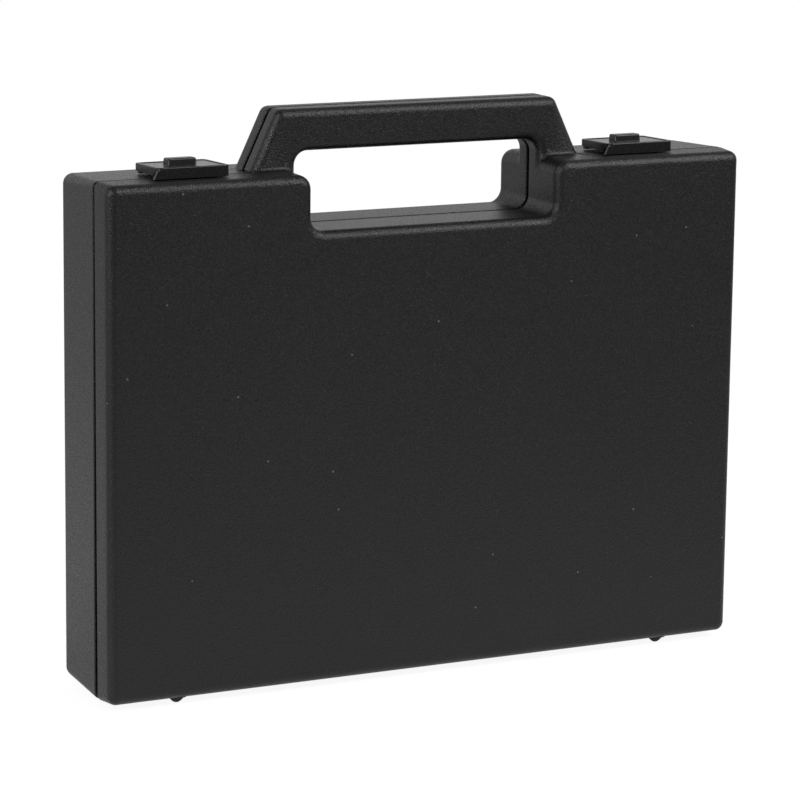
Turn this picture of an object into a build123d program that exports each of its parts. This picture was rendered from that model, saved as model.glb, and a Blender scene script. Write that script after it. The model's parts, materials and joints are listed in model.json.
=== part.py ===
"""Flat black plastic transit case with a moulded two-half handle, two slide latches and a pinned lid hinge.

Frame: X runs along the case, Y from the lid's face (-Y) to the base's face (+Y), Z up.
The origin is under the middle of the case, on the surface that its four feet stand on.
"""
from build123d import *
import os
from math import radians, tan

# Shells
case_width = 300.0
case_height = 218.0          # of the two shells where they meet, without feet and handle
lid_depth = 14.7             # front shell, from the seam to its face
base_depth = 38.8            # rear shell, from the seam to its face
wall = 2.5
lid_draft = 1.67             # degrees that the walls lean in, from the seam to the lid's face
base_draft = 1.67            # the same to the base's face
seam_corner_radius = 2.4     # corners of the outline at the seam, seen from the front
face_corner_radius = 4.6     # the same at each face
edge_radius = 4.0            # rounding between the walls and each face
inner_edge_radius = 1.5
least_radius = 1.2           # of a rounding that is drawn in from the outer surface
seam_gap_top = 1.2           # open joint between the two shells, at the top of the case
seam_gap_bottom = 2.8        # the same at the bottom, where the hinge needs room
step_gap = 2.1               # the same at the handle
step_inset = 0.1             # of the seam's step, from the ends of the handle

# Hand opening cut down into the top of both shells
notch_width = 115.6
notch_depth = 24.0           # of its floor, below the top of the case
notch_corner_radius = 6.0
notch_mouth_radius = 6.0     # where the opening's sides turn out into the top

# Handle, half of it moulded on each shell
handle_half_base = 77.9      # half its length where it meets the top
handle_lean = 25.4           # degrees that its ends lean in
handle_rise = 25.3           # its top above the top of the case
handle_depth = 20.3
grip_height = 17.9
handle_corner_radius = 4.0
handle_arch_radius = 6.0
handle_edge_radius = 3.8
handle_wall = 2.2
handle_root = 2.0            # how far it is set into the top wall
leg_root = 1.0               # how far its legs go past the rounding of the opening's mouth
rib_thickness = 1.4
rib_pitch = 30.0
rib_count = 4

# Lap joint: a thin lip on the base stands inside the lid's wall
lip_thickness = 1.1
lip_reach = 2.0              # how far the lip goes into the lid
lip_root = 3.0               # depth of the band that carries the lip, inside the base's wall
lip_clearance = 0.25
lip_hinge_clear = 5.0        # the lip stops this far above the underside

# Hinge: two sets of knuckles on the seam, along the underside
hinge_inset = 75.0           # of the middle of each set, from the end of the case
knuckle_radius = 2.4
base_knuckle = 10.0
lid_knuckle = 18.0
knuckle_gap = 0.4
knuckle_clearance = 0.35     # between a knuckle and the wall that is cut away round it
knuckle_pad = 1.0            # how far the pad behind each knuckle runs on past it
pin_radius = 1.25
pin_clearance = 0.05
pin_end_wall = 1.5           # closed end of the pin's hole, at the inner knuckle
pin_end_play = 0.2

# Slide latches, two of the same piece, across the seam on the top of the case
latch_gap = 12.05            # between the handle's foot and each slider, if they stood even
latch_shift = -2.0           # both sliders stand this far left of even, as they are locked
slider_length = 32.1
slider_depth = 25.5
slider_height = 4.75
slider_overhang = 6.4        # how far it reaches over the lid, in front of the seam
slider_lift = 0.3            # running gap under it
slider_skirt = 0.25          # how far its front wall reaches down past the others
slider_toe = 1.7             # how far the foot of its front wall runs on past its left end
slider_wall = 1.6
slider_roof = 1.3
slider_corner_radius = 2.2
slider_edge_radius = 0.5
slider_travel = 8.0
web_place = 0.6              # front face of its middle web, behind the seam
web_thickness = 1.2
rim_line_inset = 1.3         # fine step that runs round its upper face
rim_line_depth = 0.25
finger_length = 12.9
finger_depth = 6.0
finger_height = 2.6
finger_shift = -0.95
finger_draft = 4.0
finger_edge_radius = 0.8
rail_play = 0.3              # between the slider and the rail that it runs on
rail_head = 1.1              # thickness of the rail's head
rail_flange = 1.0            # how far the head stands out over the slider's lips
rail_root = 0.6              # how far the rail is set into the top wall
lip_height = 1.0
end_height_rear = 2.9        # of the slider's left end, which stops above the case
end_height_front = 3.7       # the same at its front, beside the way out for the tooth
end_front_gap = 4.2          # width of the way out for the tooth, at the bottom
tooth_length = 5.6
tooth_height = 2.0
tooth_crest = 0.7            # flat width along the tooth's top, before its rear slopes down
tooth_inset = 0.3            # from the inside of the slider's left end
tooth_front_gap = 0.5        # from the inside of the slider's front wall
tooth_root = 1.2             # how far the tooth is set into the lid's top wall
tooth_clearance = 0.4        # under the slider's left end as it passes over the tooth

# Feet
foot_height = 2.6
foot_radius = 3.5
foot_tip_radius = 1.0
foot_dome_radius = 6.0
foot_stem_radius = 2.0
foot_stem_length = 4.2
foot_stem_clearance = 0.05
foot_stem_room = 0.3         # free depth past the stem's end
foot_inset = 33.2            # from the end of the case
foot_boss_radius = 4.6
foot_boss_cap = 1.5          # of the boss, above the stem
base_foot_inset = 7.35       # of the rear feet from the base's face

# Places that follow from the sizes above
front_y = -(lid_depth + base_depth) / 2
seam_y = front_y + lid_depth
back_y = seam_y + base_depth
bottom_z = foot_height
top_z = bottom_z + case_height
notch_z = top_z - notch_depth
handle_top_z = top_z + handle_rise
grip_bottom_z = handle_top_z - grip_height
step_half = handle_half_base - step_inset    # the seam steps back to mid-depth between these X
step_z = notch_z - 2 * wall                  # and above this height
outside = 2 * case_width                     # larger than anything here
near = 0.01                                  # tolerance for picking edges by their place
slider_centres = [latch_shift + side * (handle_half_base + latch_gap + slider_length / 2) for side in (-1, 1)]
hinge_centres = [side * (case_width / 2 - hinge_inset) for side in (-1, 1)]
foot_centres = [side * (case_width / 2 - foot_inset) for side in (-1, 1)]


def span(x0, x1, y0, y1, z0, z1):
    """A block between two corners."""
    size = Box(x1 - x0, y1 - y0, z1 - z0, align=(Align.MIN, Align.MIN, Align.MIN))
    return Pos(x0, y0, z0) * size


def front_plane(y, side=-1):
    """A sketch plane at depth y with Z up, facing the front (side -1) or the back (side 1)."""
    return Plane(origin=(0, y, 0), x_dir=(-side, 0, 0), z_dir=(0, side, 0))


def lean(side):
    """How far the walls of the lid (side -1) or the base (side 1) lean in, per unit of depth."""
    return tan(radians(lid_draft if side < 0 else base_draft))


def outline(inset, lean_in=0.0, radius=seam_corner_radius):
    """The case's outline where its walls have leaned in by lean_in, drawn in from the outer surface."""
    margin = inset + lean_in
    shape = RectangleRounded(case_width - 2 * margin, case_height - 2 * margin,
                             max(radius - inset, least_radius))
    return Pos(0, (bottom_z + top_z) / 2) * shape


def notch_cutter(inset):
    """The hand opening, grown by inset, right through the case."""
    low = notch_z - inset
    high = top_z + edge_radius
    shape = Pos(0, (low + high) / 2) * Rectangle(notch_width + 2 * inset, high - low)
    corners = shape.vertices().sort_by(Axis.Y)[:2]
    shape = fillet(corners, notch_corner_radius + inset)
    return extrude(front_plane(0) * shape, outside, both=True)


def half_block(side, inset, edge):
    """One side of the case as a closed block, from the seam to its face, drawn in by inset."""
    depth = (lid_depth if side < 0 else base_depth) - inset
    at_seam = front_plane(seam_y, side) * outline(inset)
    face_outline = outline(inset, lean(side) * depth, face_corner_radius)
    at_face = front_plane(seam_y + side * depth, side) * face_outline
    block = loft([at_seam, at_face], ruled=True)
    block -= notch_cutter(inset)
    half = notch_width / 2 + inset
    notch_sides = block.edges().filter_by(lambda e: abs(abs(e.center().X) - half) < near)
    block = fillet(notch_sides.sort_by(Axis.Z)[-2:], max(notch_mouth_radius - inset, least_radius))
    face = block.faces().sort_by(Axis.Y)[0 if side < 0 else -1]
    return fillet(face.edges(), edge)


def handle_profile():
    """The handle from the front: leaning ends, a straight top and the arch over the hand opening."""
    low = top_z - handle_root
    slope = tan(radians(handle_lean))
    foot_half = handle_half_base + handle_root * slope
    head_half = handle_half_base - handle_rise * slope
    outer = make_face(Polyline((-foot_half, low), (foot_half, low), (head_half, handle_top_z),
                               (-head_half, handle_top_z), close=True))
    outer = fillet(outer.vertices().sort_by(Axis.Y)[2:], handle_corner_radius)
    leg_width = notch_mouth_radius + leg_root
    leg_low = top_z - leg_width
    for side in (-1, 1):
        middle = side * (notch_width + leg_width) / 2
        outer += Pos(middle, (leg_low + top_z) / 2) * Rectangle(leg_width, leg_width)
    arch_low = leg_low - leg_root
    arch = Pos(0, (arch_low + grip_bottom_z) / 2) * Rectangle(notch_width, grip_bottom_z - arch_low)
    arch = fillet(arch.vertices().sort_by(Axis.Y)[2:], handle_arch_radius)
    return outer - arch


def handle_block():
    """The whole handle, both halves, rounded along its front and rear edges."""
    block = extrude(front_plane(0) * handle_profile(), handle_depth / 2, both=True)
    for pick in (0, -1):
        face = block.faces().sort_by(Axis.Y)[pick]
        above = face.edges().filter_by(lambda e: e.center().Z > top_z - handle_root + near
                                       or abs(abs(e.center().X) - notch_width / 2) < near)
        block = fillet(above, handle_edge_radius)
    return block


def handle_pocket():
    """The hollow inside the handle's two halves, crossed by thin ribs."""
    profile = offset(handle_profile(), -handle_wall, kind=Kind.INTERSECTION)
    profile &= Pos(0, (top_z + handle_top_z) / 2) * Rectangle(outside, handle_rise)
    pocket = extrude(front_plane(0) * profile, handle_depth / 2 - handle_wall, both=True)
    for number in range(rib_count):
        x = (number - (rib_count - 1) / 2) * rib_pitch
        pocket -= span(x - rib_thickness / 2, x + rib_thickness / 2, -handle_depth, handle_depth,
                       grip_bottom_z, handle_top_z)
    return pocket


def hollow_case():
    """Both shells and the handle in one, before the seam divides them."""
    case = half_block(-1, 0, edge_radius) + half_block(1, 0, edge_radius) + handle_block()
    case -= half_block(-1, wall, inner_edge_radius)
    case -= half_block(1, wall, inner_edge_radius)
    return case - handle_pocket()


def seam_edge(side, z):
    """Depth of the lid's edge (side -1) or the base's (side 1) at the seam, at height z."""
    gap = seam_gap_top + (seam_gap_bottom - seam_gap_top) * (top_z - z) / case_height
    return seam_y + side * gap / 2


def shell_space(side):
    """The space in front of the seam (side -1) or behind it (side 1)."""
    low, high = bottom_z - outside, top_z + 2 * handle_rise
    shape = make_face(Polyline((side * outside, low), (seam_edge(side, low), low),
                               (seam_edge(side, high), high), (side * outside, high), close=True))
    return extrude(Plane.YZ * shape, outside, both=True)


def lid_region():
    """The space in front of the seam, which steps back to mid-depth at the handle."""
    return shell_space(-1) + span(-step_half, step_half, -outside, -step_gap / 2, step_z, outside)


def base_region():
    """The space behind the seam."""
    half = step_half + step_gap
    return shell_space(1) - span(-half, half, -outside, step_gap / 2, step_z - step_gap, outside)


def lap_ring(outer_inset, inner_inset, y0, y1):
    """A thin frame inside the walls, left out along the hinge and at the stepped part of the seam."""
    ring = extrude(front_plane(y1) * (outline(outer_inset) - outline(inner_inset)), y1 - y0)
    ring -= span(-outside, outside, -outside, outside, -outside, bottom_z + lip_hinge_clear)
    half = step_half + step_gap + lip_reach
    return ring - span(-half, half, -outside, outside, notch_z, outside)


def knuckles(side):
    """X ranges of the hinge knuckles of the base (side 1) or the lid (side -1)."""
    ranges = []
    for centre in hinge_centres:
        inner = lid_knuckle / 2
        if side < 0:
            ranges.append((centre - inner, centre + inner))
        else:
            start = inner + knuckle_gap
            ranges.append((centre - start - base_knuckle, centre - start))
            ranges.append((centre + start, centre + start + base_knuckle))
    return ranges


def rod_x(x0, x1, radius):
    """A round bar along the hinge axis."""
    return Pos((x0 + x1) / 2, seam_y, bottom_z) * Rot(0, 90, 0) * Cylinder(radius, x1 - x0)


def pin_hole(centre):
    """X ends of the hole for a hinge pin, which is open at the outer end of its set of knuckles."""
    half = lid_knuckle / 2 + knuckle_gap + base_knuckle
    out = 1 if centre > 0 else -1
    ends = (centre + out * half, centre - out * (half - pin_end_wall))
    return min(ends), max(ends)


def add_hinge(shell, side):
    """Cuts room for the other shell's knuckles, then adds this shell's own, with their pin holes."""
    for x0, x1 in knuckles(-side):
        shell -= rod_x(x0 - knuckle_gap, x1 + knuckle_gap, knuckle_radius + knuckle_clearance)
    reach = knuckle_radius + knuckle_pad
    pad_low = bottom_z + 2 * lean(side) * reach  # clear of the underside, which slopes up
    for x0, x1 in knuckles(side):
        low, high = sorted((seam_y, seam_y + side * reach))
        shell += rod_x(x0, x1, knuckle_radius) + span(x0, x1, low, high, pad_low, bottom_z + knuckle_radius)
    for centre in hinge_centres:
        x0, x1 = pin_hole(centre)
        groove = x1 - x0                         # the pin is laid in it to be pushed home
        x0, x1 = (x0 - groove, x1) if centre < 0 else (x0, x1 + groove)
        shell -= rod_x(x0, x1, pin_radius + pin_clearance)
    return shell


def add_foot_seats(shell, y):
    """Bosses inside the wall with holes for the stems of two feet, at depth y."""
    upright = (Align.CENTER, Align.CENTER, Align.MIN)
    boss = Cylinder(foot_boss_radius, foot_stem_length + foot_boss_cap, align=upright)
    hole = Cylinder(foot_stem_radius + foot_stem_clearance, bottom_z + foot_stem_length + foot_stem_room,
                    align=upright)
    for x in foot_centres:
        shell = shell + Pos(x, y, bottom_z) * boss - Pos(x, y, 0) * hole
    return shell


def on_top(shape):
    """Sets a shape drawn about the seam, with its seat at z 0, on the base's sloping top."""
    return Pos(0, seam_y, top_z) * Rot(-base_draft, 0, 0) * shape


def slider_depths():
    """Depths of a slider's walls, from the seam: front face, middle web's two faces, rear lip, back face."""
    back = slider_depth - slider_overhang
    return -slider_overhang, web_place, web_place + web_thickness, back - slider_wall, back


def rail(centre):
    """The T-shaped rail on the base that carries a slider."""
    front, web, web_back, rear_lip, back = slider_depths()
    half = slider_length / 2 - slider_wall - rail_play
    x0 = centre - half + slider_travel
    x1 = centre + half
    y0 = web_back + rail_play
    y1 = rear_lip - rail_play
    top = slider_height - slider_roof - rail_play
    stem = span(x0, x1, y0 + rail_flange, y1 - rail_flange, -rail_root, top)
    head = span(x0, x1, y0, y1, top - rail_head, top)
    return on_top(stem + head)


def way_out():
    """Corners, in depth and height, of the slanted way out for the tooth at the slider's left end."""
    front = -slider_overhang + slider_wall
    return (front, slider_height - slider_roof), (front + end_front_gap, slider_height - end_height_front)


def tooth(centre):
    """The lid's wedge-shaped tooth, which stands inside the slider's front wall while it is locked."""
    (front, high), (rear, low) = way_out()
    fall = (high - low) / (rear - front)         # of the slanted edge that passes over the tooth
    y0 = front + tooth_front_gap
    y1 = y0 + tooth_crest
    tail = y1 + (tooth_height - low + tooth_clearance) / fall
    profile = make_face(Polyline((y0, -tooth_root), (y0, tooth_height), (y1, tooth_height),
                                 (tail, low - tooth_clearance), (tail, -tooth_root), close=True))
    x0 = centre - slider_length / 2 + slider_wall + tooth_inset
    return Pos(x0, seam_y, top_z) * extrude(Plane.YZ * profile, tooth_length)


def slider(centre):
    """One slide latch: a shallow cap, open underneath and at its left end over the lid."""
    front, web, web_back, rear_lip, back = slider_depths()
    half = slider_length / 2
    inner = half - slider_wall
    middle = (front + back) / 2
    roof = slider_height - slider_roof
    low = slider_lift - slider_skirt
    plan = Pos(0, middle, low) * RectangleRounded(slider_length, slider_depth, slider_corner_radius)
    body = extrude(plan, slider_height - low)
    body = fillet(body.faces().sort_by(Axis.Z)[-1].edges(), slider_edge_radius)
    panel = RectangleRounded(slider_length - 2 * rim_line_inset, slider_depth - 2 * rim_line_inset,
                             slider_corner_radius - rim_line_inset / 2)
    body -= extrude(Pos(0, middle, slider_height - rim_line_depth) * panel, slider_height)
    body -= span(-half, half, front + slider_wall, back, low, slider_lift)
    # The hollow under the roof, with the web and two lips that hook under the rail's head
    body -= span(-inner, inner, front + slider_wall, rear_lip, -slider_height, roof)
    body += span(-inner, inner, web, web_back, slider_lift, roof)
    lip_top = slider_lift + lip_height
    body += span(-inner, inner, web_back, web_back + rail_flange, slider_lift, lip_top)
    body += span(-inner, inner, rear_lip - rail_flange, rear_lip, slider_lift, lip_top)
    # The left end stops above the case, so that the tooth can leave when the slider moves right
    corner, low_corner = way_out()
    behind = back + slider_wall
    opening = make_face(Polyline((corner[0], -slider_height), corner, low_corner,
                                 (behind, slider_height - end_height_rear),
                                 (behind, -slider_height), close=True))
    body -= Pos(-half - slider_wall, 0, 0) * extrude(Plane.YZ * opening, 2 * slider_wall)
    corner_x = slider_corner_radius - half
    toe = make_face(Polyline((corner_x, low), (-half - slider_toe, low), (-half, roof), (corner_x, roof),
                             close=True))
    body += extrude(front_plane(front + slider_wall) * toe, slider_wall)
    block_plan = Rectangle(finger_length, finger_depth)
    block = extrude(Pos(finger_shift, middle, slider_height - rim_line_depth) * block_plan,
                    finger_height + rim_line_depth, taper=finger_draft)
    levels = block.edges().group_by(Axis.Z)
    block = fillet(levels[1] + levels[-1], finger_edge_radius)
    return on_top(Pos(centre, 0, 0) * (body + block))


def foot(x, y):
    """A push-in foot: a small dome with a stem in the shell's wall."""
    stem_top = bottom_z + foot_stem_length
    upper = Polyline((0, stem_top), (foot_stem_radius, stem_top), (foot_stem_radius, bottom_z),
                     (foot_radius, bottom_z))
    dome = RadiusArc((foot_radius, bottom_z), (foot_tip_radius, 0), foot_dome_radius)
    tip = Polyline((foot_tip_radius, 0), (0, 0), (0, stem_top))
    return Pos(x, y, 0) * revolve(Plane.XZ * make_face(upper + dome + tip), Axis.Z)


def build():
    """Every piece, by the name of its node."""
    case = hollow_case()
    lid = case & lid_region()
    base = case & base_region()

    rim_y = seam_edge(1, bottom_z)
    lip_inset = wall + lip_clearance
    base += lap_ring(lip_inset, lip_inset + lip_thickness, seam_edge(-1, top_z) - lip_reach, rim_y + lip_root)
    base += lap_ring(wall / 2, lip_inset + lip_thickness, rim_y, rim_y + lip_root)
    lid = add_hinge(lid, -1)
    base = add_hinge(base, 1)

    lid_foot_y = front_y + lid_depth / 2
    base_foot_y = back_y - base_foot_inset
    lid = add_foot_seats(lid, lid_foot_y)
    base = add_foot_seats(base, base_foot_y)

    for centre in slider_centres:
        base += rail(centre)
        lid += tooth(centre)

    pieces = {"lid_shell": lid, "base_shell": base}
    for name, centre in zip(("left", "right"), slider_centres):
        pieces["latch_slider_" + name] = slider(centre)
    for name, centre in zip(("left", "right"), hinge_centres):
        x0, x1 = pin_hole(centre)
        pieces["hinge_pin_" + name] = rod_x(x0 + pin_end_play, x1 - pin_end_play, pin_radius)
    for name, x in zip(("left", "right"), foot_centres):
        pieces["foot_front_" + name] = foot(x, lid_foot_y)
        pieces["foot_rear_" + name] = foot(x, base_foot_y)
    return pieces


os.makedirs("parts", exist_ok=True)
for node, shape in build().items():
    solids = shape.solids()
    print(node, "solids", len(solids), "volume", round(sum(s.volume for s in solids), 1))
    export_step(solids[0] if len(solids) == 1 else Compound(children=list(solids)), "parts/" + node + ".step")
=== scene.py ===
# %% [markdown]
# # A black plastic transit case
# The case is two thin moulded shells that meet at a dark seam, with half of the handle on each, two slide
# latches on top and four small feet. Its construction comes from the CAD frame, at its real size and in
# metres. Blender gives it its finish: fine moulded grain, soft sheen on the roundings, smoother latches
# and a little dust.

# %% Load the frame
import json
from math import cos, radians, sin

import bpy
from mathutils import Matrix, Vector

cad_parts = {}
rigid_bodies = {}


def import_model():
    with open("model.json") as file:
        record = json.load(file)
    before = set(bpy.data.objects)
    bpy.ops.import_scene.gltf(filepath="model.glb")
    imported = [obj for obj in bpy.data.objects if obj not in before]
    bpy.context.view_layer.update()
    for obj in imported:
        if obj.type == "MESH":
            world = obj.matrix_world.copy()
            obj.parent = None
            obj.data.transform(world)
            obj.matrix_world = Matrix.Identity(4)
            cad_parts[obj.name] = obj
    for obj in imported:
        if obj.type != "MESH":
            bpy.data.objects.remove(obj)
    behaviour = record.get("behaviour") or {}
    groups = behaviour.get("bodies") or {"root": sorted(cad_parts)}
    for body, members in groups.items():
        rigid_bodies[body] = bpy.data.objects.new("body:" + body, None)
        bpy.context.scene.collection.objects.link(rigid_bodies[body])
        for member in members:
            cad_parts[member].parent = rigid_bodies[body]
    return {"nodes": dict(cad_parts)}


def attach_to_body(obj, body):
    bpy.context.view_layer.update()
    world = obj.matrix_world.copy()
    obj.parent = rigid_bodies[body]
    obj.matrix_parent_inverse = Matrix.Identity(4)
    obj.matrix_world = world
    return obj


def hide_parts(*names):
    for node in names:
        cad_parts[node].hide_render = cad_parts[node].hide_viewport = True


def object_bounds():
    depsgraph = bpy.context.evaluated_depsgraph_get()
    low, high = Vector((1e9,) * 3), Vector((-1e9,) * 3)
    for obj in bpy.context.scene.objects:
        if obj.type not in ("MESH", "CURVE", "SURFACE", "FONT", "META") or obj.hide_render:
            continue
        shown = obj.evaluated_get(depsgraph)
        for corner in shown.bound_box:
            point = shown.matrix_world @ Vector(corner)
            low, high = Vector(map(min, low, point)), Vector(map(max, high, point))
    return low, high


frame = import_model()
nodes = frame["nodes"]
cad_low, cad_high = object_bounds()
print("nodes:", sorted(nodes))
print("size in mm:", [round(1000 * side, 1) for side in cad_high - cad_low])

# %% [markdown]
# ## The camera
# A long lens from the left and a little above shows the front, the left end and the top together. A camera
# looks along its own -Z axis, so it is first tipped up from looking straight down, then turned round Z.
# Multiplying the three turns keeps each one readable, and the matrix gives the camera its angles.

# %% Camera
camera_place = Vector((-0.6994, -1.3607, 0.4220))
turn_right, look_down, tilt = radians(27.149), radians(11.412), radians(0.679)
focal_length, sensor_width = 162.33, 36.0                # in millimetres
shift_right, shift_up = -0.0034, 0.0082                  # as shares of the picture's width

camera_data = bpy.data.cameras.new("camera")
camera_data.lens = focal_length
camera_data.sensor_width = sensor_width
camera_data.shift_x = shift_right
camera_data.shift_y = shift_up
camera = bpy.data.objects.new("camera", camera_data)
bpy.context.scene.collection.objects.link(camera)
aim = (Matrix.Rotation(-turn_right, 4, "Z") @ Matrix.Rotation(radians(90) - look_down, 4, "X")
       @ Matrix.Rotation(tilt, 4, "Z"))
camera.matrix_world = Matrix.Translation(camera_place) @ aim
bpy.context.scene.camera = camera
print("camera distance in m:", round(camera_place.length, 3))

# %% [markdown]
# ## Helpers for node trees
# Node trees get long when every node and link is written out. Two of these short functions add one node
# each and give back the socket that the next node needs, so a material reads almost like a sum.

# %% Node helpers
def attach(tree, value, socket):
    """Links a socket to an input, or sets the input to a number."""
    if isinstance(value, bpy.types.NodeSocket):
        tree.links.new(value, socket)
    else:
        socket.default_value = value


def math_node(tree, operation, *values):
    """A Math node whose inputs are sockets or numbers, and its result."""
    node = tree.nodes.new("ShaderNodeMath")
    node.operation = operation
    for socket, value in zip(node.inputs, values):
        attach(tree, value, socket)
    return node.outputs[0]


def ramp(tree, value, start, stop, low, high):
    """A value between start and stop, eased to run from low to high."""
    node = tree.nodes.new("ShaderNodeMapRange")
    node.interpolation_type = "SMOOTHSTEP"
    for socket, part in zip(node.inputs, (value, start, stop, low, high)):
        attach(tree, part, socket)
    return node.outputs["Result"]


# %% [markdown]
# ## The studio
# Black plastic has almost no colour of its own, so what it mirrors is what we see. The studio round it is
# a white backdrop behind the case and a dim ceiling. The ceiling leaves the dark bands between the bright
# edges and the top, an even fill lights what doesn't mirror, and the camera itself sees plain white.

# %% View and world
scene = bpy.context.scene
scene.view_settings.view_transform = "Standard"
backdrop_level, ceiling_level, fill_level = 0.60, 0.25, 0.5
backdrop_starts, backdrop_full = 0.0, 0.5                # Y of a direction, from sideways towards the rear
ceiling_starts, ceiling_full = 0.3, 0.6                  # Z of a direction

world = bpy.data.worlds.new("studio")
scene.world = world
world.use_nodes = True
sky = world.node_tree
direction = sky.nodes.new("ShaderNodeSeparateXYZ")
sky.links.new(sky.nodes.new("ShaderNodeTexCoord").outputs["Generated"], direction.inputs[0])
behind = ramp(sky, direction.outputs["Y"], backdrop_starts, backdrop_full, 0.0, 1.0)
low_down = ramp(sky, direction.outputs["Z"], ceiling_starts, ceiling_full, 1.0, 0.0)
backdrop = math_node(sky, "MULTIPLY", behind, low_down)
studio = ramp(sky, backdrop, 0.0, 1.0, ceiling_level, backdrop_level)
sky_rays = sky.nodes.new("ShaderNodeLightPath").outputs
mirrored_sky = math_node(sky, "MULTIPLY", sky_rays["Is Glossy Ray"], studio)
other_rays = math_node(sky, "SUBTRACT", 1.0, sky_rays["Is Glossy Ray"])
lit = math_node(sky, "ADD", mirrored_sky, math_node(sky, "MULTIPLY", other_rays, fill_level))
background = sky.nodes["Background"]
background.inputs["Color"].default_value = (1, 1, 1, 1)
sky.links.new(math_node(sky, "MAXIMUM", lit, sky_rays["Is Camera Ray"]), background.inputs["Strength"])
print("studio brightness: backdrop", backdrop_level, "ceiling", ceiling_level, "fill", fill_level)

# %% [markdown]
# ## Lamps
# The lamps draw the bright bands along the roundings. A large soft one stands at the left, one in front at
# the right, and a small one at the front left, whose reflection lies along the left leg of the handle.
# Area lamps are used because a broad, even light draws long, soft highlights.

# %% Lamps
def soft_lamp(name, place, target, side, power):
    """A square lamp that faces a point. Places and side are in metres, power in watts."""
    data = bpy.data.lights.new(name, "AREA")
    data.shape = "SQUARE"
    data.size = side
    data.energy = power
    lamp = bpy.data.objects.new(name, data)
    scene.collection.objects.link(lamp)
    lamp.location = place
    lamp.rotation_euler = (Vector(target) - Vector(place)).to_track_quat("-Z", "Y").to_euler()
    print(name, "power in W:", power)


middle = (cad_low + cad_high) / 2
soft_lamp("left_lamp", (-1.45, -0.35, 0.62), middle, side=1.2, power=5.4)
soft_lamp("corner_lamp", (-1.35, -0.80, 0.98), middle, side=0.5, power=6.0)
soft_lamp("front_lamp", (0.86, -0.90, 1.1), middle, side=1.1, power=13.0)

# %% [markdown]
# ## The floor
# The case stands on plain white paper, with only a faint shadow. The paper's own colour is grey, and a
# glow that only the camera sees lifts it to white, so that the shadow stays. Mirror rays see another glow,
# brightest beside the case, because the front of the real case grows lighter towards its bottom edge.

# %% Floor
floor_side = 12.0
floor_grey, floor_roughness = 0.17, 0.9
camera_glow = 0.91
far_glow = (-0.1, 0.2, 0.03, 0.25)                       # Y from and to, in metres, and the glow at each
near_glow = (0.15, 1.05, 0.55, 0.0)                      # distance from and to, and the glow at each
front_share = (-0.08, 0.08, 1.0, 0.45)                   # Y from and to, and the near glow's share at each

bpy.ops.object.select_all(action="DESELECT")
bpy.ops.mesh.primitive_plane_add(size=floor_side, location=(0, 0, 0))
floor = bpy.context.active_object
floor.name = "floor"
floor_paint = bpy.data.materials.new("floor_white")
floor_paint.use_nodes = True
paper = floor_paint.node_tree
paper_surface = paper.nodes["Principled BSDF"]
paper_surface.inputs["Base Color"].default_value = (floor_grey, floor_grey, floor_grey, 1)
paper_surface.inputs["Roughness"].default_value = floor_roughness
paper_surface.inputs["Specular IOR Level"].default_value = 0.0
paper_surface.inputs["Emission Color"].default_value = (1, 1, 1, 1)
paper_rays = paper.nodes.new("ShaderNodeLightPath").outputs
spot = paper.nodes.new("ShaderNodeTexCoord").outputs["Object"]
depth_axis = paper.nodes.new("ShaderNodeSeparateXYZ")
paper.links.new(spot, depth_axis.inputs[0])
distance = paper.nodes.new("ShaderNodeVectorMath")
distance.operation = "LENGTH"
paper.links.new(spot, distance.inputs[0])
beside = math_node(paper, "MULTIPLY", ramp(paper, distance.outputs["Value"], *near_glow),
                   ramp(paper, depth_axis.outputs["Y"], *front_share))
glow = math_node(paper, "ADD", ramp(paper, depth_axis.outputs["Y"], *far_glow), beside)
seen = math_node(paper, "MULTIPLY", paper_rays["Is Camera Ray"], camera_glow)
mirrored_paper = math_node(paper, "MULTIPLY", paper_rays["Is Glossy Ray"], glow)
paper.links.new(math_node(paper, "ADD", seen, mirrored_paper), paper_surface.inputs["Emission Strength"])
floor.data.materials.append(floor_paint)
print("floor side in m:", floor_side)


# %% [markdown]
# ## Moulded grain
# The shells come from a tool whose faces were etched, so every surface has a fine, even grain about half a
# millimetre across. Noise in the object's own coordinates gives it the same size on every face, without
# any unwrapping. The grain is one node group that each plastic places with its own size. It gives a height
# for the bump, a spread that changes the roughness with the grain, and a tone that makes the plastic a
# little uneven.

# %% Grain group
def node_group(name, inputs, outputs):
    """An empty shader node group with the named sockets, and its input and output nodes."""
    group = bpy.data.node_groups.new(name, "ShaderNodeTree")
    for label, kind in inputs.items():
        group.interface.new_socket(label, in_out="INPUT", socket_type=kind)
    for label, kind in outputs.items():
        group.interface.new_socket(label, in_out="OUTPUT", socket_type=kind)
    return group, group.nodes.new("NodeGroupInput"), group.nodes.new("NodeGroupOutput")


def noise(tree, position, scale, detail):
    """Noise from 0 to 1. Scale is in features per metre, as a number or a socket."""
    node = tree.nodes.new("ShaderNodeTexNoise")
    tree.links.new(position, node.inputs["Vector"])
    attach(tree, scale, node.inputs["Scale"])
    node.inputs["Detail"].default_value = detail
    return node.outputs["Fac"]


coarse_scale, coarse_share = 0.4, 0.5                    # against the fine grain
tone_scale = 25.0                                        # uneven patches per metre


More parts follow.
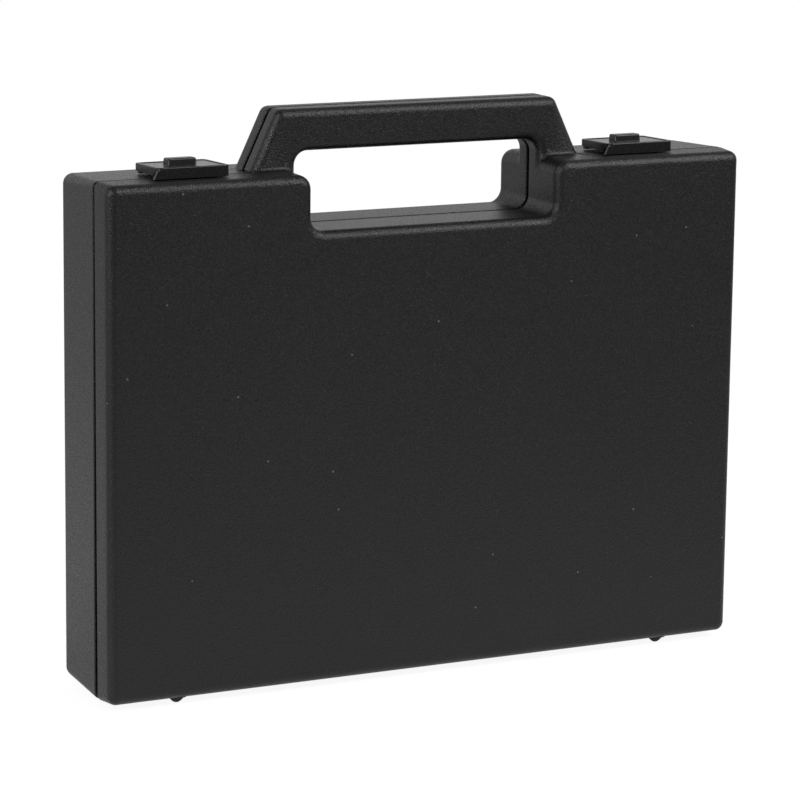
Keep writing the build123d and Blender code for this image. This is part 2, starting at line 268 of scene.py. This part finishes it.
def make_grain():
    """Etched grain: position and size in, height, spread and tone out."""
    group, given, result = node_group(
        "moulded_grain",
        {"Position": "NodeSocketVector", "Grain Size": "NodeSocketFloat"},
        {"Height": "NodeSocketFloat", "Spread": "NodeSocketFloat", "Tone": "NodeSocketFloat"})
    position = given.outputs["Position"]
    scale = math_node(group, "DIVIDE", 1.0, given.outputs["Grain Size"])
    fine = noise(group, position, scale, 2.0)
    coarse = noise(group, position, math_node(group, "MULTIPLY", scale, coarse_scale), 1.0)
    height = math_node(group, "ADD", fine, math_node(group, "MULTIPLY", coarse, coarse_share))
    group.links.new(height, result.inputs["Height"])
    group.links.new(math_node(group, "SUBTRACT", fine, 0.5), result.inputs["Spread"])
    broad = noise(group, position, tone_scale, 2.0)
    group.links.new(math_node(group, "SUBTRACT", broad, 0.5), result.inputs["Tone"])
    return group


grain_group = make_grain()
print("grain outputs:", [s.name for s in grain_group.interface.items_tree if s.in_out == "OUTPUT"])


# %% [markdown]
# ## Dust
# Black plastic shows every speck, and the photographed case has a few. A Voronoi pattern gives each speck
# a cell of its own. The cell's colour, different in each, chooses the cells that have one and makes it
# smaller or larger.

# %% Dust group
speck_radius, speck_growth = 0.018, 0.02                 # smallest radius and its range, as shares of a cell


def make_specks():
    """Dust: a few pale points, each in its own cell of the pattern. 1 on a speck, 0 elsewhere."""
    group, given, result = node_group(
        "dust_specks",
        {"Position": "NodeSocketVector", "Spacing": "NodeSocketFloat", "Share": "NodeSocketFloat"},
        {"Speck": "NodeSocketFloat"})
    cells = group.nodes.new("ShaderNodeTexVoronoi")
    group.links.new(given.outputs["Position"], cells.inputs["Vector"])
    group.links.new(math_node(group, "DIVIDE", 1.0, given.outputs["Spacing"]), cells.inputs["Scale"])
    chance = group.nodes.new("ShaderNodeSeparateColor")
    group.links.new(cells.outputs["Color"], chance.inputs["Color"])
    chosen = math_node(group, "LESS_THAN", chance.outputs["Red"], given.outputs["Share"])
    growth = math_node(group, "MULTIPLY", chance.outputs["Green"], speck_growth)
    reach = math_node(group, "ADD", speck_radius, growth)
    on_point = math_node(group, "LESS_THAN", cells.outputs["Distance"], reach)
    group.links.new(math_node(group, "MULTIPLY", chosen, on_point), result.inputs["Speck"])
    return group


speck_group = make_specks()
print("dust outputs:", [s.name for s in speck_group.interface.items_tree if s.in_out == "OUTPUT"])


# %% [markdown]
# ## Plastics
# The shells are etched and nearly pure black, and the latches are smoother and a trace lighter. In both,
# the grain moves the colour a little up and down, changes the roughness and feeds a very shallow bump, and
# the dust adds to the colour. One function builds both, so they differ only in their numbers.

# %% Plastics
dust_spacing, dust_brightness = 0.012, 0.15              # metres between cells, and what a speck adds
unevenness = 0.3                                         # how far the colour goes up and down, as a share
spread_in_tone, spread_in_roughness = 0.5, 0.6


def place_group(tree, group, position, **values):
    """A group placed in a material at a position, with the numbers given for its other inputs."""
    node = tree.nodes.new("ShaderNodeGroup")
    node.node_tree = group
    tree.links.new(position, node.inputs["Position"])
    for label, value in values.items():
        node.inputs[label.replace("_", " ")].default_value = value
    return node


def plastic(name, grey, roughness, grain_size, grain_depth, dust_share):
    """Black moulded plastic. Sizes are in metres."""
    material = bpy.data.materials.new(name)
    material.use_nodes = True
    tree = material.node_tree
    surface = tree.nodes["Principled BSDF"]
    position = tree.nodes.new("ShaderNodeTexCoord").outputs["Object"]
    grain = place_group(tree, grain_group, position, Grain_Size=grain_size)
    specks = place_group(tree, speck_group, position, Spacing=dust_spacing, Share=dust_share)

    shade = tree.nodes.new("ShaderNodeMapRange")
    shade.inputs["From Min"].default_value = -0.5
    shade.inputs["From Max"].default_value = 0.5
    shade.inputs["To Min"].default_value = grey * (1 - unevenness)
    shade.inputs["To Max"].default_value = grey * (1 + unevenness)
    fine_tone = math_node(tree, "MULTIPLY", grain.outputs["Spread"], spread_in_tone)
    tree.links.new(math_node(tree, "ADD", grain.outputs["Tone"], fine_tone), shade.inputs["Value"])
    dust = math_node(tree, "MULTIPLY", specks.outputs["Speck"], dust_brightness)
    dusty = math_node(tree, "ADD", shade.outputs["Result"], dust)
    colour = tree.nodes.new("ShaderNodeCombineColor")
    for channel in ("Red", "Green", "Blue"):
        tree.links.new(dusty, colour.inputs[channel])
    tree.links.new(colour.outputs["Color"], surface.inputs["Base Color"])

    uneven = math_node(tree, "MULTIPLY", grain.outputs["Spread"], spread_in_roughness)
    tree.links.new(math_node(tree, "ADD", roughness, uneven), surface.inputs["Roughness"])
    bump = tree.nodes.new("ShaderNodeBump")
    bump.inputs["Distance"].default_value = grain_depth
    tree.links.new(grain.outputs["Height"], bump.inputs["Height"])
    tree.links.new(bump.outputs["Normal"], surface.inputs["Normal"])
    return material


shell_plastic = plastic("shell_plastic", grey=0.004, roughness=0.29, grain_size=0.0005,
                        grain_depth=0.00022, dust_share=0.8)
latch_plastic = plastic("latch_plastic", grey=0.007, roughness=0.18, grain_size=0.0006,
                        grain_depth=0.00002, dust_share=0.0)
print("plastics:", shell_plastic.name, latch_plastic.name)


# %% [markdown]
# ## Rubber feet and steel pins
# The feet and the hinge pins are small and lie underneath, so their CAD meshes stay as they are, and an
# even material put straight on them is enough.

# %% Small pieces
def plain(name, grey, roughness, metallic):
    """A plain even material, for the small pieces."""
    material = bpy.data.materials.new(name)
    material.use_nodes = True
    surface = material.node_tree.nodes["Principled BSDF"]
    surface.inputs["Base Color"].default_value = (grey, grey, grey, 1)
    surface.inputs["Roughness"].default_value = roughness
    surface.inputs["Metallic"].default_value = metallic
    return material


def wear(material, *names):
    """Puts a material on CAD nodes."""
    for name in names:
        node = nodes[name]
        node.data.materials.clear()
        node.data.materials.append(material)
    print(material.name, "on", names)


foot_rubber = plain("foot_rubber", grey=0.008, roughness=0.7, metallic=0.0)
pin_steel = plain("pin_steel", grey=0.5, roughness=0.35, metallic=1.0)
wear(foot_rubber, *[name for name in nodes if name.startswith("foot")])
wear(pin_steel, *[name for name in nodes if name.startswith("hinge_pin")])

# %% [markdown]
# ## Helpers for moulded edges
# Real moulded edges are never sharp: a radius of a tenth of a millimetre catches a thin bright line. A CAD
# node is loose triangles, so a bevel needs a copy whose corners are merged first. After the bevel, the
# large flat faces decide the shading, so that they stay flat beside the roundings.

# %% Edge helpers
merge_distance = 0.000001
sharp_edge = radians(40)                                 # edges above this angle are rounded
smooth_edge = radians(35)                                # faces up to this angle are shaded as one
flat_face_weight = 100
rounding_segments = 2


def only(piece):
    """Makes a piece the only selected one, and the active one."""
    bpy.ops.object.select_all(action="DESELECT")
    piece.select_set(True)
    bpy.context.view_layer.objects.active = piece


def finish_piece(piece, name, body, material):
    """Names a modelled piece, gives it its material and lets it ride on a body."""
    piece.name = name
    piece.data.name = name
    piece.data.materials.clear()
    piece.data.materials.append(material)
    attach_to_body(piece, body)


def merged_copy(node):
    """A copy of a CAD node, merged into one skin, at the origin. The node itself stays as it is."""
    only(nodes[node])
    bpy.ops.object.duplicate()
    copy = bpy.context.active_object
    only(copy)
    bpy.ops.object.parent_clear(type="CLEAR_KEEP_TRANSFORM")
    bpy.ops.object.transform_apply(location=True, rotation=True, scale=True)
    bpy.ops.object.mode_set(mode="EDIT")
    bpy.ops.mesh.select_all(action="SELECT")
    bpy.ops.mesh.remove_doubles(threshold=merge_distance)
    bpy.ops.object.mode_set(mode="OBJECT")
    return copy


def round_edges(piece, width, limit):
    """Rounds a piece's edges with a bevel, all the sharp ones or those that carry a weight."""
    only(piece)
    bpy.ops.object.modifier_add(type="BEVEL")
    edge = piece.modifiers[-1]
    edge.width, edge.segments, edge.limit_method = width, rounding_segments, limit
    edge.angle_limit = sharp_edge
    edge.use_clamp_overlap = limit == "ANGLE"
    bpy.ops.object.modifier_apply(modifier=edge.name)
    bpy.ops.object.shade_smooth_by_angle(angle=smooth_edge)
    bpy.ops.object.modifier_add(type="WEIGHTED_NORMAL")
    flat = piece.modifiers[-1]
    flat.keep_sharp = True
    flat.weight = flat_face_weight
    bpy.ops.object.modifier_apply(modifier=flat.name)


# %% [markdown]
# ## Slide latches
# Each latch is a cap that slides on a rail, with a fine step round its top. A merged copy gets all its
# sharp edges rounded, the step's too. The copy rides on the latch's body and stands for the CAD node,
# which stays untouched underneath.

# %% Latches
latch_edge = 0.00012
for side in ("left", "right"):
    latch = merged_copy("latch_slider_" + side)
    round_edges(latch, latch_edge, "ANGLE")
    finish_piece(latch, "latch_" + side + "_soft", "latch_" + side, latch_plastic)
    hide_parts("latch_slider_" + side)
    print(latch.name, "faces:", len(latch.data.polygons))

# %% [markdown]
# ## Rounded edges at the seam
# The shells' edges along the seam are rounded too, which widens the dark line between them. Only the edges
# on the seam get a bevel weight. The seam runs at a fixed depth round the case, opens a little towards the
# hinge and steps back to the middle of the case at the handle.

# %% Shells
seam_depth = -0.01205
seam_gap = 0.0012                                        # at the top of the case
seam_opening = 0.0037                                    # what each side of the gap gains per metre down
handle_gap = 0.0021                                      # between the halves of the handle
top_level, notch_floor = 0.2206, 0.1916
handle_reach = 0.0785                                    # from the middle to where the seam steps back
seam_round = 0.0005
seam_corner = radians(60)
seam_tolerance = 0.0001


def from_seam(point):
    """Distance from a point to the open joint between the shells, in metres."""
    if abs(point.x) < handle_reach and point.z > notch_floor:
        return abs(point.y) - handle_gap / 2
    return abs(point.y - seam_depth) - seam_gap / 2 - seam_opening * (top_level - point.z)


for node, body in (("lid_shell", "lid"), ("base_shell", "base")):
    shell = merged_copy(node)
    mesh = shell.data
    bpy.ops.object.mode_set(mode="EDIT")
    bpy.ops.mesh.select_mode(type="EDGE")
    bpy.ops.mesh.select_all(action="DESELECT")
    bpy.ops.mesh.edges_select_sharp(sharpness=seam_corner)
    bpy.ops.object.mode_set(mode="OBJECT")
    weight = mesh.attributes.new("bevel_weight_edge", "FLOAT", "EDGE")
    count = 0
    for edge in mesh.edges:
        ends = [mesh.vertices[i].co for i in edge.vertices]
        if edge.select and all(abs(from_seam(end)) < seam_tolerance for end in ends):
            weight.data[edge.index].value = 1.0
            count += 1
    round_edges(shell, seam_round, "WEIGHT")
    finish_piece(shell, node + "_soft", body, shell_plastic)
    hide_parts(node)
    print(shell.name, "edges at the seam:", count, "faces:", len(mesh.polygons))

# %% [markdown]
# ## Hollow roundings at the handle's feet
# Where each half of the handle stands on the top, the moulding has a hollow rounding that draws a soft
# line of light. A curve follows the front of one leg and turns a little way round its outer corner. A
# small profile with a hollow side is swept along it, and each point's radius lets it fade out at both
# ends.

# %% One handle rounding
hollow, sunk = 0.0019, 0.0004                            # the rounding's radius, and how deep it is set in
leg_front = 10.15                                        # depth of a leg's face, in millimetres
leg_path = [                                             # X and depth in millimetres, and a share of size
    (61.6, leg_front, 0.25), (62.6, leg_front, 0.7), (63.8, leg_front, 1.0), (74.1, leg_front, 1.0),
    (75.5, 9.86, 0.85), (76.8, 9.04, 0.55), (77.6, 7.8, 0.25)]
arc_steps = 9


def flat_curve(name, points, closed):
    """A flat curve of straight pieces, from x and y in metres and a radius."""
    bpy.ops.object.select_all(action="DESELECT")
    bpy.ops.curve.primitive_nurbs_path_add(location=(0, 0, 0))
    curve = bpy.context.active_object
    curve.name = name
    curve.data.splines.clear()
    curve.data.dimensions = "2D"
    curve.data.fill_mode = "NONE"
    spline = curve.data.splines.new("POLY")
    spline.points.add(len(points) - 1)
    for point, (x, y, radius) in zip(spline.points, points):
        point.co = (x, y, 0, 1)
        point.radius = radius
    spline.use_cyclic_u = closed
    return curve


turns = [radians(90 * step / arc_steps) for step in range(arc_steps + 1)]
hollow_side = [(hollow * (1 - sin(turn)), hollow * (1 - cos(turn)), 1.0) for turn in turns]
set_in = [(-sunk, hollow, 1.0), (-sunk, -sunk, 1.0), (hollow, -sunk, 1.0)]
profile = flat_curve("rounding_profile", hollow_side + set_in, True)
path = flat_curve("rounding_path", [(x / 1000, -depth / 1000, share) for x, depth, share in leg_path], False)
path.data.bevel_mode = "OBJECT"
path.data.bevel_object = profile
path.data.use_fill_caps = True
only(path)
bpy.ops.object.convert(target="MESH")
rounding = bpy.context.active_object
corners = (rounding.bound_box[0], rounding.bound_box[6])
print("rounding spans in mm:", [[round(1000 * part, 2) for part in corner] for corner in corners])

# %% [markdown]
# ## The four roundings in place
# The handle has two legs, each with a lid half and a base half. The one rounding is copied and mirrored
# for each, and set on the top, which falls a little away from the seam. A mirrored mesh is turned inside
# out, so its normals are made to point outwards again. The first one and its profile are then deleted.

# %% Handle roundings
top_slope = 0.0292

for side, across in (("left", -1), ("right", 1)):
    for body, along, shell in (("lid", 1, "front"), ("base", -1, "rear")):
        only(rounding)
        bpy.ops.object.duplicate()
        strip = bpy.context.active_object
        strip.scale = (across, along, 1)
        depth = -along * leg_front / 1000
        strip.location.z = top_level - top_slope * (depth - seam_depth)
        bpy.ops.object.transform_apply(location=False, rotation=False, scale=True)
        bpy.ops.object.mode_set(mode="EDIT")
        bpy.ops.mesh.select_all(action="SELECT")
        bpy.ops.mesh.normals_make_consistent(inside=False)
        bpy.ops.object.mode_set(mode="OBJECT")
        bpy.ops.object.transform_apply(location=True, rotation=True, scale=True)
        bpy.ops.object.shade_smooth_by_angle(angle=smooth_edge)
        finish_piece(strip, "handle_rounding_" + shell + "_" + side, body, shell_plastic)
        print(strip.name, "faces:", len(strip.data.polygons))
for spare in (rounding, profile):
    bpy.data.objects.remove(spare)
